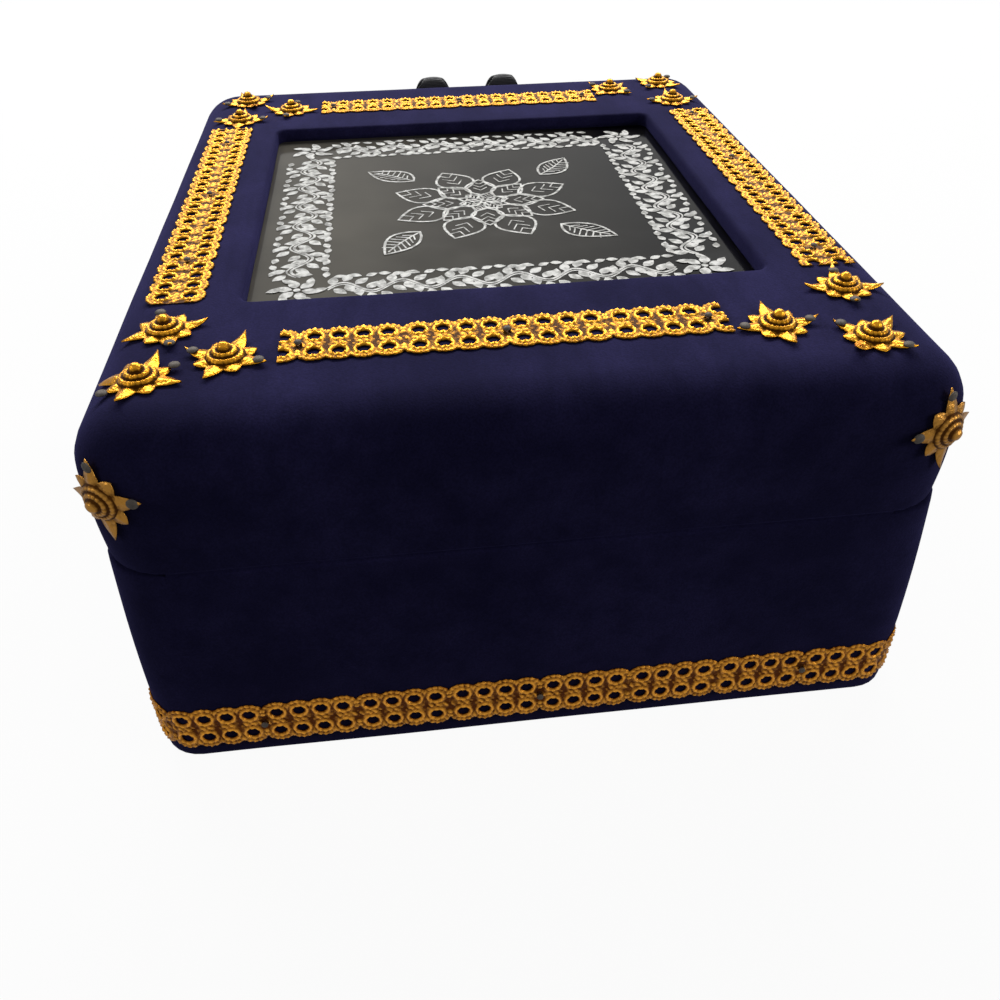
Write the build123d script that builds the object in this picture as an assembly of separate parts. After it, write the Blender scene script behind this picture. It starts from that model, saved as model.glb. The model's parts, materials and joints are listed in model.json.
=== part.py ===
from build123d import *
import os
from math import cos, degrees, floor, hypot, pi, radians, sin, sqrt

# Velvet-covered display box: a boarded base and a padded, glazed lid on a cloth hinge,
# trimmed with stamped brass strip and stepped brass stars. Millimetres, +Z up,
# origin under the middle of the base, hinge along the back at -Y, front at +Y.

# Whole box
box_width = 204.0
box_depth = 254.0
box_height = 104.0
lid_height = 38.0
corner_radius = 16.0
base_corner_radius = 11.0
seam_gap = 0.4

# Coverings and boards
velvet = 1.2
wadding = 0.8
velvet_at_bevel = 0.5
board = 8.0
bottom_board_thickness = 4.0
bottom_cloth_thickness = 0.5
bottom_cloth_inset = 6.0
velvet_turn_in = 14.0
base_foot_bevel = 1.6
lining = 1.6
lining_step = 2.0
floor_pad_thickness = 8.0
floor_pad_roll = 5.0
soft_clearance = 0.3

# Lid top and window
lid_roll = 14.5
lid_panel = 2.5
window = 136.0
window_corner = 3.0
window_lip = 0.8
glass_size = 150.0
glass_thickness = 2.0
glass_clearance = 0.4
ceiling_board = 2.0
ceiling_window = 140.0

# Cloth hinge
hinge_tape = 0.5
hinge_tape_reach = 20.0
hinge_tape_end_gap = 4.0

# Stamped strip: holes in groups of four columns, two rows
trim_thickness = 0.6
trim_width = 15.2
trim_period = 24.25
trim_pitch = 5.7
trim_row_spacing = 7.05
trim_hole_radius = 1.65
trim_hole_sides = 4
columns_in_group = 4
end_land = 1.2

# Where the top strips lie: from the box side to the strip's middle, from its ends to the
# box sides, and how far a strip or its pattern is off the middle
side_trim_inset = 17.5
side_trim_end_gap = 58.0
back_trim_inset = 33.5
front_trim_inset = 34.5
cross_trim_end_gap = 49.0
back_trim_shift = -4.0
left_trim_shift = 1.2
left_pattern_shift = -8.3
right_pattern_shift = 2.3
base_trim_rise = 5.0
base_trim_joint = 0.4

# Stars: eight points, four long and four short, with a stepped rosette
star_tips = 8
star_long = 10.2
star_short = 7.4
star_valley = 5.4
star_edge = 0.4
star_land = 4.2
star_crown = 1.0
star_round_seat = 0.55
rosette_ring = 4.1
rosette_step = 2.7
rosette_rise = 1.0
rosette_flutes = 6
rosette_flute_depth = 0.35
rosette_bead = 1.5
rosette_bead_rise = 1.4
rosette_taper = 20

# Each lid-top star: distance in from the side, distance in from the back or front,
# turn in degrees, and the turn from its first point to its nails
back_left_stars = [(17.8, 45.0, 16, 90), (33.5, 29.8, -22, 0), (15.5, 22.9, -17, 45)]
back_right_stars = [(19.1, 44.6, -4, 90), (42.4, 27.7, 5, 0), (22.3, 19.4, 43, 90)]
front_left_stars = [(19.6, 46.5, -5, 0), (37.8, 36.7, -12, 90), (20.3, 23.5, 20, 0)]
front_right_stars = [(20.0, 45.5, 3, 0), (41.0, 27.5, 45, 90), (19.8, 21.5, 48, 0)]

# Stars bent round the lid's upright corners, seen from the back: how far round the corner
# in degrees, how far below the top, and their tilt in degrees
left_corner_star = (34, 16.8, 8)
right_corner_star = (26, 15.0, 0)

# Nails and tacks
star_nail_radius = 1.35
star_nail_place = 8.2
star_nail_lift = 0.7
trim_nail_radius = 0.9
nail_head = 0.8
nail_shank_radius = 0.45
nail_bite = 2.2
nail_sides = 5
nail_shank_sides = 3
nail_taper = 35

# Two ribbon pull loops on the lid's front
loop_width = 14.7
loop_spacing = 29.6
loop_offset = 6.5
loop_height = 23.0
loop_depth = 6.0
loop_ribbon = 1.4
loop_shoulder = 7.0
loop_top = 104.0
loop_tack_drop = 2.5

half_width = box_width / 2
half_depth = box_depth / 2
seam = box_height - lid_height
roll = min(lid_roll, corner_radius - 1.0)

# Base levels
velvet_bottom = bottom_cloth_thickness
board_bottom = velvet_bottom + velvet
floor_level = board_bottom + bottom_board_thickness
base_rim = seam - seam_gap / 2
base_wall_top = base_rim - velvet

# Lid levels
lid_rim = seam + seam_gap / 2
lid_wall_bottom = lid_rim + velvet
panel_top = box_height - velvet - wadding
panel_bottom = panel_top - lid_panel
glass_bottom = panel_bottom - glass_thickness
ceiling_bottom = glass_bottom - ceiling_board

# Widths and depths of the cavities between the boards
base_cavity = (box_width - 2 * (velvet + board), box_depth - 2 * (velvet + board))
lid_skin = velvet + wadding
lid_cavity = (box_width - 2 * (lid_skin + board), box_depth - 2 * (lid_skin + board))

# Bevels of the wadding and of the boards under the cover's padded roll: the wadding's edges
# keep a named share of the velvet over them, and the boards keep the wadding's thickness
inner_roll = roll - velvet
wadding_bevel = inner_roll - sqrt((roll - velvet_at_bevel * velvet) ** 2 - inner_roll**2)
board_bevel = wadding_bevel - wadding * (2 - sqrt(2))

nodes = {}


def block(width, depth, bottom, top, corner=0.0):
    """Upright block centred on the box, with rounded upright corners."""
    outline = RectangleRounded(width, depth, corner) if corner else Rectangle(width, depth)
    return Pos(0, 0, bottom) * extrude(outline, top - bottom)


def lid_block(inset, bottom):
    """The lid's outer form drawn in by inset, its top edges still square."""
    width, depth = box_width - 2 * inset, box_depth - 2 * inset
    return block(width, depth, bottom, box_height - inset, corner_radius - inset)


def top_edges(form):
    return form.faces().sort_by(Axis.Z)[-1].edges()


def mitred_board(side, width, depth, bottom, top, form):
    """One wall board, mitred at both ends and rounded to the form it is part of."""
    along, across = (width, depth) if side in ("back", "front") else (depth, width)
    turn = {"back": 0, "right": 90, "front": 180, "left": 270}[side]
    outline = Polygon(
        (-along / 2, -across / 2),
        (along / 2, -across / 2),
        (along / 2 - board, -across / 2 + board),
        (-along / 2 + board, -across / 2 + board),
        align=None,
    )
    return (Rot(0, 0, turn) * Pos(0, 0, bottom) * extrude(outline, top - bottom)) & form


def base_shell():
    """Boards, velvet, linings and floor of the base."""
    width = box_width - 2 * velvet
    depth = box_depth - 2 * velvet
    core = block(width, depth, board_bottom, base_wall_top, base_corner_radius - velvet)
    nodes["bottom_board"] = core & block(box_width, box_depth, board_bottom, floor_level)
    for side in ("back", "front", "left", "right"):
        wall = mitred_board(side, width, depth, floor_level, base_wall_top, core)
        nodes["base_wall_" + side] = wall

    cover = block(box_width, box_depth, velvet_bottom, base_rim, base_corner_radius)
    foot = cover.faces().sort_by(Axis.Z)[0]
    cover = chamfer(foot.edges(), base_foot_bevel)
    cover -= core
    cover -= block(*base_cavity, floor_level, box_height)
    bare = box_width - 2 * velvet_turn_in, box_depth - 2 * velvet_turn_in
    cover -= block(*bare, 0, board_bottom)
    nodes["base_velvet"] = cover - hinge_leaf("base")

    sheet = box_width - 2 * bottom_cloth_inset, box_depth - 2 * bottom_cloth_inset
    sheet_corner = max(base_corner_radius - bottom_cloth_inset, 1.0)
    nodes["bottom_cloth"] = block(*sheet, 0, bottom_cloth_thickness, sheet_corner)

    sleeve_top = base_wall_top - lining_step
    inside = base_cavity[0] - 2 * lining, base_cavity[1] - 2 * lining
    sleeve = block(*base_cavity, floor_level, sleeve_top) - block(*inside, 0, box_height)
    nodes["base_wall_lining"] = sleeve
    pad = inside[0] - 2 * soft_clearance, inside[1] - 2 * soft_clearance
    cushion = block(*pad, floor_level, floor_level + floor_pad_thickness)
    nodes["base_floor_pad"] = fillet(top_edges(cushion), floor_pad_roll)


def hinge_leaf(body):
    """One half of the cloth hinge tape, glued on the back boards under the velvet."""
    length = box_width - 2 * corner_radius - 2 * hinge_tape_end_gap
    if body == "base":
        low, high, skin = base_rim - hinge_tape_reach, base_rim, velvet
    else:
        low, high, skin = lid_rim, lid_rim + hinge_tape_reach, lid_skin
    middle = -half_depth + skin - hinge_tape / 2
    return Pos(0, middle, (low + high) / 2) * Box(length, hinge_tape, high - low)


def lid_shell():
    """Boards, wadding, velvet, glazing and linings of the lid."""
    cover_form = lid_block(0, lid_rim)
    cover_form = fillet(top_edges(cover_form), roll)
    wadding_form = lid_block(velvet, lid_wall_bottom)
    wadding_form = chamfer(top_edges(wadding_form), wadding_bevel)
    core = lid_block(lid_skin, lid_wall_bottom)
    core = chamfer(top_edges(core), board_bevel)
    width = box_width - 2 * lid_skin
    depth = box_depth - 2 * lid_skin
    opening = window + 2 * velvet
    hole = block(opening, opening, panel_bottom, box_height, window_corner + velvet)

    for side in ("back", "front", "left", "right"):
        wall = mitred_board(side, width, depth, lid_wall_bottom, panel_bottom, core)
        nodes["lid_wall_" + side] = wall
    top = core & block(box_width, box_depth, panel_bottom, panel_top)
    nodes["lid_top_panel"] = top - hole
    nodes["lid_wadding"] = wadding_form - core - hole - hinge_leaf("lid") - block(*lid_cavity, 0, panel_bottom)

    sight = block(window, window, 0, box_height, window_corner)
    cover = cover_form - wadding_form
    cover += block(opening, opening, panel_bottom, box_height - velvet / 2, window_corner + velvet)
    cover -= sight
    rim = cover.faces().sort_by(Axis.Z)[-1].inner_wires()[0]
    cover = chamfer(rim.edges(), window_lip)
    nodes["lid_velvet"] = cover - block(*lid_cavity, 0, panel_bottom) - hinge_leaf("lid")

    nodes["window_glass"] = block(glass_size, glass_size, glass_bottom, panel_bottom)
    packing = block(*lid_cavity, glass_bottom, panel_bottom)
    seat = glass_size + 2 * glass_clearance
    nodes["glass_packing_frame"] = packing - block(seat, seat, 0, box_height)
    ceiling = block(*lid_cavity, ceiling_bottom, glass_bottom)
    nodes["lid_ceiling_board"] = ceiling - block(ceiling_window, ceiling_window, 0, box_height)
    inside = lid_cavity[0] - 2 * lining, lid_cavity[1] - 2 * lining
    sleeve = block(*lid_cavity, lid_wall_bottom + lining_step, ceiling_bottom)
    nodes["lid_wall_lining"] = sleeve - block(*inside, 0, box_height)


def hinge_cloth():
    nodes["hinge_tape_base"] = hinge_leaf("base")
    nodes["hinge_tape_lid"] = hinge_leaf("lid")


def column_places(length, shift):
    """Middle of each hole column along a strip, in groups of four that repeat."""
    usable = length / 2 - end_land - trim_hole_radius
    places = []
    for group in range(-floor(length / trim_period) - 1, floor(length / trim_period) + 2):
        for column in range(columns_in_group):
            offset = (column - (columns_in_group - 1) / 2) * trim_pitch
            place = shift + group * trim_period + offset
            if abs(place) <= usable:
                places.append(place)
    return places


def flat_strip(length, shift):
    """Perforated strip lying along X, its back on the XY plane."""
    face = Rectangle(length, trim_width)
    for place in column_places(length, shift):
        for row in (-0.5, 0.5):
            hole = RegularPolygon(trim_hole_radius, trim_hole_sides)
            face -= Pos(place, row * trim_row_spacing) * hole
    return extrude(face, trim_thickness)


def bent_path(radius, angles):
    """Outline of the foot strip's path at one face, flat between the bends of both corners."""
    right = []
    for first, second in zip([0.0] + angles, angles + [90.0]):
        middle = radians((first + second) / 2)
        reach = radius / cos(radians((second - first) / 2))
        right.append((half_width - base_corner_radius + reach * sin(middle), -reach * cos(middle)))
    right.append((half_width - base_corner_radius + radius, 0.0))
    left = [(-x, y) for x, y in reversed(right)]
    return left + right


def wrapped_strip():
    """Perforated strip along one end of the base, bent round both corners between its holes."""
    quarter = pi / 2 * base_corner_radius
    flat = box_width - 2 * base_corner_radius
    places = column_places(flat + 2 * quarter, trim_period / 2)
    angles = [degrees((place - flat / 2) / base_corner_radius) for place in places if place > flat / 2]
    outer = bent_path(base_corner_radius + trim_thickness, angles)
    inner = bent_path(base_corner_radius, angles)
    band = extrude(Polygon(*outer, *reversed(inner), align=None), trim_width)
    punches = []
    for place in places:
        beyond = max(abs(place) - flat / 2, 0.0)
        angle = degrees(beyond / base_corner_radius) * (1 if place > 0 else -1)
        spot = Pos(max(min(place, flat / 2), -flat / 2), 0, 0) * Rot(0, 0, angle)
        for row in (-0.5, 0.5):
            height = trim_width / 2 + row * trim_row_spacing
            punch = extrude(RegularPolygon(trim_hole_radius, trim_hole_sides), 3 * trim_thickness, both=True)
            punches.append(spot * Pos(0, -base_corner_radius, height) * Rot(90, 0, 0) * punch)
    return Pos(0, base_corner_radius - half_depth, base_trim_rise) * (band - punches)


def top_strip_lay():
    """Place, length and pattern shift of each strip on the lid's top."""
    side_length = box_depth - 2 * side_trim_end_gap
    cross_length = box_width - 2 * cross_trim_end_gap
    side_x = half_width - side_trim_inset
    back_y = back_trim_inset - half_depth
    front_y = half_depth - front_trim_inset
    along_side = Rot(0, 0, 90)
    return {
        "back": (Pos(back_trim_shift, back_y, box_height), cross_length, trim_period / 2),
        "front": (Pos(0, front_y, box_height), cross_length, trim_period / 2),
        "left": (Pos(-side_x, left_trim_shift, box_height) * along_side, side_length, left_pattern_shift),
        "right": (Pos(side_x, 0, box_height) * along_side, side_length, right_pattern_shift),
    }


def trims():
    """Eight lengths of stamped strip: four on the lid's top, four round the base's foot."""
    for side, (place, length, shift) in top_strip_lay().items():
        nodes["top_trim_" + side] = place * flat_strip(length, shift)
    nodes["base_trim_back"] = wrapped_strip()
    nodes["base_trim_front"] = Rot(0, 0, 180) * wrapped_strip()
    run = box_depth - 2 * base_corner_radius - 2 * base_trim_joint
    height = base_trim_rise + trim_width / 2
    for side, turn in (("left", -90), ("right", 90)):
        stand = Pos(0, -half_width, height) * Rot(90, 0, 0)
        nodes["base_trim_" + side] = Rot(0, 0, turn) * stand * flat_strip(run, 0)


def top_drop(x, y):
    """How far the lid's padded roll has fallen below the flat top at a place."""
    over_x = max(abs(x) - (half_width - roll), 0.0)
    over_y = max(abs(y) - (half_depth - roll), 0.0)
    out = min(hypot(over_x, over_y), roll)
    return roll - sqrt(roll**2 - out**2)


def on_top(centre_x, centre_y):
    """Maps a star's flat plan onto the lid's top."""

    def spot(u, v, lift):
        x, y = centre_x + u, centre_y + v
        return Vector(x, y, box_height - top_drop(x, y) + lift)

    return spot


def on_corner(side, turn, drop):
    """Maps a star's flat plan round an upright corner of the lid at its back."""
    axis = Vector(side * (half_width - corner_radius), corner_radius - half_depth, 0)
    start = radians(turn) * corner_radius

    def spot(u, v, lift):
        run = max(start + side * u, 0.0)
        flat = min(start + side * u, 0.0)
        height = box_height - drop + v
        over = max(height - (box_height - roll), 0.0)
        radius = corner_radius - (roll - sqrt(roll**2 - over**2)) + lift
        angle = run / corner_radius
        x = axis.X + side * (radius * sin(angle) + flat)
        return Vector(x, axis.Y - radius * cos(angle), height)

    return spot


def triangle(a, b, c):
    return Face(Wire.make_polygon([a, b, c]))


def star_plate(spot, turn):
    """Creased eight-point plate, flat on the top or a named clearance off what is round."""
    edges = 2 * star_tips
    outline = []
    for step in range(edges):
        reach = star_valley if step % 2 else (star_short if step % 4 else star_long)
        angle = radians(turn + step * 360 / edges)
        outline.append((reach * cos(angle), reach * sin(angle)))
    inner = []
    for step in range(star_tips):
        angle = radians(turn + step * 360 / star_tips)
        inner.append((star_land * cos(angle), star_land * sin(angle)))
    rest = [spot(u, v, 0).Z for u, v in outline]
    seat = star_round_seat if max(rest) > min(rest) else 0.0
    rim = [spot(u, v, seat + star_edge) for u, v in outline]
    foot = [spot(u, v, seat) for u, v in outline]
    land = [spot(u, v, seat + star_crown) for u, v in inner]
    hollow = [spot(u, v, seat) for u, v in inner]
    faces = []
    for step in range(edges):
        after = (step + 1) % edges
        faces.append(triangle(rim[step], foot[step], foot[after]))
        faces.append(triangle(rim[step], foot[after], rim[after]))
    for step in range(star_tips):
        tip, after = 2 * step, (step + 1) % star_tips
        for middle, ring, edge in ((spot(0, 0, seat + star_crown), land, rim), (spot(0, 0, seat), hollow, foot)):
            faces.append(triangle(middle, ring[step], ring[after]))
            faces.append(triangle(ring[step], edge[tip - 1], edge[tip]))
            faces.append(triangle(ring[step], edge[tip], edge[tip + 1]))
            faces.append(triangle(ring[step], edge[tip + 1], ring[after]))
    return Solid(Shell(faces)), seat


def rosette(sink):
    """A fluted ring, a plain step and a bead, rising from the XY plane and sunk below it."""
    rim = []
    for step in range(2 * rosette_flutes):
        reach = rosette_ring - (rosette_flute_depth if step % 2 else 0.0)
        angle = pi * step / rosette_flutes
        rim.append((reach * cos(angle), reach * sin(angle)))
    ring = extrude(Polygon(*rim, align=None), rosette_rise, taper=rosette_taper)
    if sink:
        ring += extrude(Polygon(*rim, align=None), -sink)
    middle = RegularPolygon(rosette_step, rosette_flutes)
    ring += Pos(0, 0, rosette_rise) * extrude(middle, rosette_rise, taper=rosette_taper)
    bead = extrude(RegularPolygon(rosette_bead, nail_sides), rosette_bead_rise, taper=nail_taper)
    return ring + Pos(0, 0, 2 * rosette_rise) * bead


def nail(radius, shank):
    """Domed head on the XY plane with its shank below."""
    head = extrude(RegularPolygon(radius, nail_sides), nail_head, taper=nail_taper)
    return head + extrude(RegularPolygon(nail_shank_radius, nail_shank_sides), -shank)


def top_star(x, y, turn, nail_turn):
    """A star lying on the lid's top, and its two nails."""
    spot = on_top(x, y)
    plate, seat = star_plate(spot, turn)
    star = plate + Pos(spot(0, 0, seat + star_crown)) * rosette(0)
    nails = []
    for way in (0, 180):
        angle = radians(turn + nail_turn + way)
        head = spot(star_nail_place * cos(angle), star_nail_place * sin(angle), star_nail_lift)
        nails.append(Pos(head) * nail(star_nail_radius, star_nail_lift + lid_skin + nail_bite))
    return star, nails


def corner_star(side):
    """A star bent round one of the lid's upright corners at the back, and its two nails."""
    turn, drop, tilt = left_corner_star if side < 0 else right_corner_star
    spot = on_corner(side, turn, drop)
    outward = Rot(0, 0, side * turn) * Rot(90, 0, 0)
    plate, seat = star_plate(spot, 90 + tilt)
    star = plate + Pos(spot(0, 0, seat + star_crown)) * outward * rosette(star_crown / 2)
    nails = []
    for way in (90, 180 if side > 0 else 0):
        u, v = star_nail_place * cos(radians(way + tilt)), star_nail_place * sin(radians(way + tilt))
        round_corner = max(turn + degrees(side * u / corner_radius), 0)
        lean = Rot(0, 0, side * round_corner) * Rot(90, 0, 0)
        head = nail(star_nail_radius, star_nail_lift + lid_skin + nail_bite)
        nails.append(Pos(spot(u, v, star_nail_lift)) * lean * head)
    return star, nails


def stars():
    """Sixteen stars and their nails: three at each top corner, one round each upright corner."""
    nails = []
    names = ("inner", "middle", "outer")
    corners = {
        "back_left": (-1, -1, back_left_stars),
        "back_right": (1, -1, back_right_stars),
        "front_left": (-1, 1, front_left_stars),
        "front_right": (1, 1, front_right_stars),
    }
    for corner, (side, end, places) in corners.items():
        for name, (in_x, in_y, turn, nail_turn) in zip(names, places):
            x = side * (half_width - in_x)
            y = end * (half_depth - in_y)
            star, pair = top_star(x, y, turn, nail_turn)
            nodes["star_" + corner + "_" + name] = star
            nails += pair
        star, pair = corner_star(-side * end)
        half_turn = Rot(0, 0, 180 if end > 0 else 0)
        nodes["star_corner_" + corner] = half_turn * star
        nails += [half_turn * one for one in pair]
    nodes["star_nails"] = Compound(children=nails)


def gap_places(length, shift):
    """Middles of the plain lands between the groups of holes along a strip."""
    first = shift + trim_period / 2
    count = floor(length / trim_period) + 1
    places = [first + step * trim_period for step in range(-count, count)]
    return [place for place in places if abs(place) <= length / 2 - 2 * end_land]


def trim_nails():
    """Round-headed pins on the plain lands at both ends and at the middle of every strip."""
    top = []
    for place, length, shift in top_strip_lay().values():
        lands = gap_places(length, shift)
        for land in (lands[0], lands[len(lands) // 2], lands[-1]):
            pin = nail(trim_nail_radius, trim_thickness + lid_skin + nail_bite)
            top.append(place * Pos(land, 0, trim_thickness) * pin)
    nodes["top_trim_nails"] = Compound(children=top)
    foot = []
    height = base_trim_rise + trim_width / 2
    for turn, reach, span, shift in (
        (0, half_depth, box_width, trim_period / 2),
        (90, half_width, box_depth, 0),
        (180, half_depth, box_width, trim_period / 2),
        (270, half_width, box_depth, 0),
    ):
        lands = gap_places(span - 2 * base_corner_radius - 2 * base_trim_joint, shift)
        for land in (lands[0], lands[len(lands) // 2], lands[-1]):
            stand = Pos(land, -reach - trim_thickness, height) * Rot(90, 0, 0)
            pin = nail(trim_nail_radius, trim_thickness + velvet + nail_bite)
            foot.append(Rot(0, 0, turn) * stand * pin)
    nodes["base_trim_nails"] = Compound(children=foot)


def pull_loops():
    """Two upright ribbon loops tacked to the lid's front."""
    tacks = []
    for name, side in (("left", -1), ("right", 1)):
        x = loop_offset + side * loop_spacing / 2
        bight = SlotOverall(loop_height, loop_depth, 90)
        bight -= SlotOverall(loop_height - 2 * loop_ribbon, loop_depth - 2 * loop_ribbon, 90)
        band = extrude(Plane.YZ * bight, loop_width / 2, both=True)
        outline = RectangleRounded(loop_width, 2 * loop_height, loop_shoulder)
        band &= Pos(0, 0, -loop_height / 2) * extrude(Plane.XZ * outline, loop_depth, both=True)
        middle = Pos(x, half_depth + loop_depth / 2, loop_top - loop_height / 2)
        nodes["pull_loop_" + name] = middle * band
        tack_place = Pos(x, half_depth + loop_ribbon, box_height - roll - loop_tack_drop)
        tack = nail(trim_nail_radius, loop_ribbon + lid_skin + nail_bite)
        tacks.append(tack_place * Rot(-90, 0, 0) * tack)
    nodes["loop_tacks"] = Compound(children=tacks)


base_shell()
lid_shell()
hinge_cloth()
trims()
trim_nails()
stars()
pull_loops()

os.makedirs("parts", exist_ok=True)
for name, shape in nodes.items():
    shape.label = name
    export_step(shape, "parts/" + name + ".step")
    print(name, "solids", len(shape.solids()), "volume", round(shape.volume, 1))
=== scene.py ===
import json
from math import atan2, copysign, cos, exp, hypot, pi, radians, sin, sqrt

import bmesh
import bpy
import numpy as np
from mathutils import Matrix, Vector, noise


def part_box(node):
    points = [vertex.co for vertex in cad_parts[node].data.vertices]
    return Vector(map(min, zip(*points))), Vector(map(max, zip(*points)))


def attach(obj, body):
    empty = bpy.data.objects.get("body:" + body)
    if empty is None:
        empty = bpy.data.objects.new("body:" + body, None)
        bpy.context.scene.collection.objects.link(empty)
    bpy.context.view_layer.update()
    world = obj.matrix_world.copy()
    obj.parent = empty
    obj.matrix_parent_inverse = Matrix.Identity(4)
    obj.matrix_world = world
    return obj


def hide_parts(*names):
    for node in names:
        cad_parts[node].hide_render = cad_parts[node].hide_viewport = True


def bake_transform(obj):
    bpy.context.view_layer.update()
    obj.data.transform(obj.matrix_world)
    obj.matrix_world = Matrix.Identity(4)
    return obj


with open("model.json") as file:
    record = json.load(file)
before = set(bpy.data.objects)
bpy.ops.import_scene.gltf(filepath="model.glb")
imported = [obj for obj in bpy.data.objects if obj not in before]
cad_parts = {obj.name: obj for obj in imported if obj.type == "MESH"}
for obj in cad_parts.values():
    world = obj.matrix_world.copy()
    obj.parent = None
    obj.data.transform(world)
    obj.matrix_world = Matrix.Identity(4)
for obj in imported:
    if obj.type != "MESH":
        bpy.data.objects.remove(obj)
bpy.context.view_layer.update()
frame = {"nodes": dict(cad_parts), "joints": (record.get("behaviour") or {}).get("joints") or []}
nodes = frame["nodes"]
scene = bpy.context.scene
scene.view_settings.view_transform = "Standard"
mm = 0.001


# Camera: the photograph's, fitted to the box's edges, window and strip holes. It stands
# near the back left, a little above the box, and looks down over the hinge side.
def shown(name, data):
    """A new object at the origin for a mesh, lamp or camera."""
    made = bpy.data.objects.new(name, data)
    scene.collection.objects.link(made)
    return made


camera_place = (-0.02704, -0.28831, 0.21064)
camera_right = Vector((0.99273, -0.11997, -0.00925))
camera_up = Vector((0.08221, 0.62013, 0.78018))
camera_data = bpy.data.cameras.new("camera")
camera_data.lens, camera_data.sensor_width = 33.62, 36
camera_data.shift_x, camera_data.shift_y = -0.00506, -0.00024
camera_data.clip_start, camera_data.clip_end = 0.02, 20
camera = shown("camera", camera_data)
turn = Matrix((camera_right, camera_up, camera_right.cross(camera_up))).transposed()
camera.matrix_world = Matrix.Translation(camera_place) @ turn.to_4x4()
scene.camera = camera


# Studio: a white floor that keeps a faint shadow, a plain pale room and soft lamps. The
# camera sees floor and room white, metal and glass mirror them dimmer, and the light comes
# from above.
def paint(code):
    """An sRGB hex colour as the linear one that a shader takes."""
    parts = [int(code[i : i + 2], 16) / 255 for i in (1, 3, 5)]
    return [c / 12.92 if c <= 0.04045 else ((c + 0.055) / 1.055) ** 2.4 for c in parts] + [1]


def give(tree, node, inputs):
    """Sets a node's inputs, each to a value, a hex colour, an output or a node's first output."""
    for key, value in inputs.items():
        if str(value).startswith("#"):
            value = paint(value)
        if isinstance(value, bpy.types.Node):
            value = value.outputs[0]
        if isinstance(value, bpy.types.NodeSocket):
            tree.links.new(value, node.inputs[key])
        else:
            node.inputs[key].default_value = value


def add(tree, kind, inputs=None, **settings):
    """Adds a node with its settings and inputs."""
    made = tree.nodes.new(kind)
    for name, value in settings.items():
        setattr(made, name, value)
    give(tree, made, inputs or {})
    return made


def seen_directly(tree):
    """1 where a camera, glossy or transmission ray looks, 0 for the light that falls."""
    rays = add(tree, "ShaderNodeLightPath").outputs
    sharp = {0: rays["Is Camera Ray"], 1: rays["Is Glossy Ray"]}
    looked = add(tree, "ShaderNodeMath", sharp, operation="MAXIMUM")
    return add(tree, "ShaderNodeMath", {0: looked, 1: rays["Is Transmission Ray"]}, operation="MAXIMUM")


def looked_strength(tree):
    """Full brightness for the camera, and a share of it in what metal and glass mirror."""
    path = add(tree, "ShaderNodeLightPath")
    parts = {0: path.outputs["Is Camera Ray"], 1: 1 - mirrored, 2: mirrored}
    return add(tree, "ShaderNodeMath", parts, operation="MULTIPLY_ADD")


mirrored, room_light, floor_glow = 0.5, 0.06, 0.95
world = bpy.data.worlds.new("pale room")
scene.world = world
world.use_nodes = True
room = world.node_tree
room.nodes.clear()
falling = add(room, "ShaderNodeBackground", {"Color": "#FFFFFF", "Strength": room_light})
looked_at = add(room, "ShaderNodeBackground", {"Color": "#FFFFFF", "Strength": looked_strength(room)})
either = add(room, "ShaderNodeMixShader", {0: seen_directly(room), 1: falling, 2: looked_at})
add(room, "ShaderNodeOutputWorld", {0: either})

floor_mesh = bpy.data.meshes.new("floor")
floor_mesh.from_pydata([(-6, -6, 0), (6, -6, 0), (6, 6, 0), (-6, 6, 0)], [], [(0, 1, 2, 3)])
floor = shown("floor", floor_mesh)
floor_paint = bpy.data.materials.new("white paper floor")
floor_paint.use_nodes = True
paper = floor_paint.node_tree
paper.nodes.clear()
shaded = add(paper, "ShaderNodeBsdfDiffuse", {"Color": "#6A6A6A"})
white = add(paper, "ShaderNodeBsdfDiffuse", {"Color": "#FAFAFA"})
bright = add(paper, "ShaderNodeEmission", {"Color": "#FFFFFF", "Strength": looked_strength(paper)})
glowing = add(paper, "ShaderNodeMixShader", {0: floor_glow, 1: white, 2: bright})
seen = add(paper, "ShaderNodeMixShader", {0: seen_directly(paper), 1: shaded, 2: glowing})
add(paper, "ShaderNodeOutputMaterial", {0: seen})
floor_mesh.materials.append(floor_paint)

for name, lamp_place, aim, size, watts in (
    ("left ceiling lamp", (-0.62, 1.06, 1.06), (0, 0.05, 0.1), 0.6, 8.2),
    ("middle ceiling lamp", (0.05, 1.06, 1.06), (0, 0.05, 0.1), 0.6, 8.2),
    ("right ceiling lamp", (0.72, 1.06, 1.06), (0, 0.05, 0.1), 0.6, 8.2),
    ("left lamp", (-0.8, -0.3, 0.5), (0, 0, 0.08), 0.4, 1.0),
    ("right lamp", (0.8, -0.42, 0.4), (0, 0, 0.08), 0.4, 1.8),
):
    light = bpy.data.lights.new(name, "AREA")
    light.shape, light.size, light.energy = "DISK", size, watts
    lamp = shown(name, light)
    lamp.location = lamp_place
    lamp.rotation_mode = "QUATERNION"
    lamp.rotation_quaternion = (Vector(aim) - Vector(lamp_place)).to_track_quat("-Z", "Y")


# Boards of both halves: thin pine, sawn and sanded, glued and covered, and seen nowhere.
# The base's side boards have their upright corners rasped rounder towards the rim, so that
# the velvet draws in there; the others stay as the CAD has them.
def material(name):
    """A new material, its tree, its Principled shader and the piece's own coordinates."""
    made = bpy.data.materials.new(name)
    made.use_nodes = True
    tree = made.node_tree
    return made, tree, tree.nodes["Principled BSDF"], add(tree, "ShaderNodeTexCoord").outputs["Object"]


def finish_as(names, finish):
    """Gives CAD nodes a finish on their own slots."""
    for name in names:
        for slot in nodes[name].material_slots:
            slot.material = finish


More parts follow.
